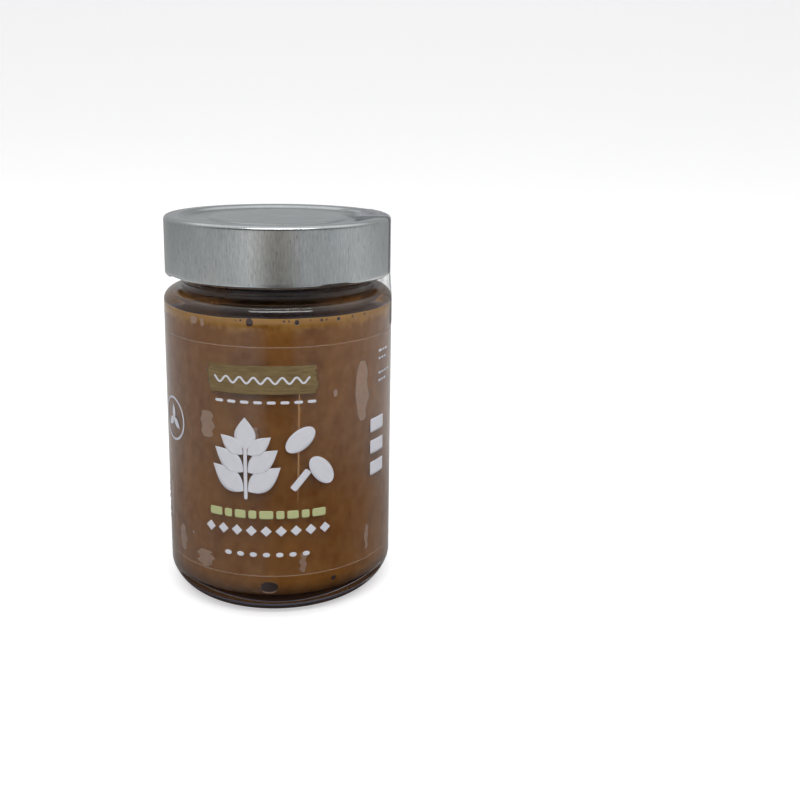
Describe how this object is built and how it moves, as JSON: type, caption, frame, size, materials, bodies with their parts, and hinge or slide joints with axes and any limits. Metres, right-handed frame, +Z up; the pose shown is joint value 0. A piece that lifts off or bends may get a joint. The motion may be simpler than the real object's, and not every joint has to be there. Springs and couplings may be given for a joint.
{
  "type": "peanut butter jar",
  "caption": "Shut round glass jar filled with peanut butter, with a deep silver twist-off lid, a clear printed film label and a clear seal strip.",
  "frame": {"origin": "centre of the jar's foot, on the surface it stands on", "axes": "+Z up along the jar's axis, -Y towards the front of the label, +X to the side with the seal strip"},
  "size_m": [0.0728, 0.0728, 0.1204],
  "materials": {
    "jar_glass": "clear, gloss",
    "peanut_butter": "smooth brown spread, slightly oily",
    "lid_metal": "satin silver tinplate with fine upright grain",
    "label_film": "clear film with pale and olive print",
    "seal_film": "clear gloss film"
  },
  "bodies": {
    "root": {"glass_jar": "jar_glass", "peanut_butter": "peanut_butter", "lid": "lid_metal", "label_film": "label_film", "seal_strip": "seal_film"}
  },
  "joints": []
}
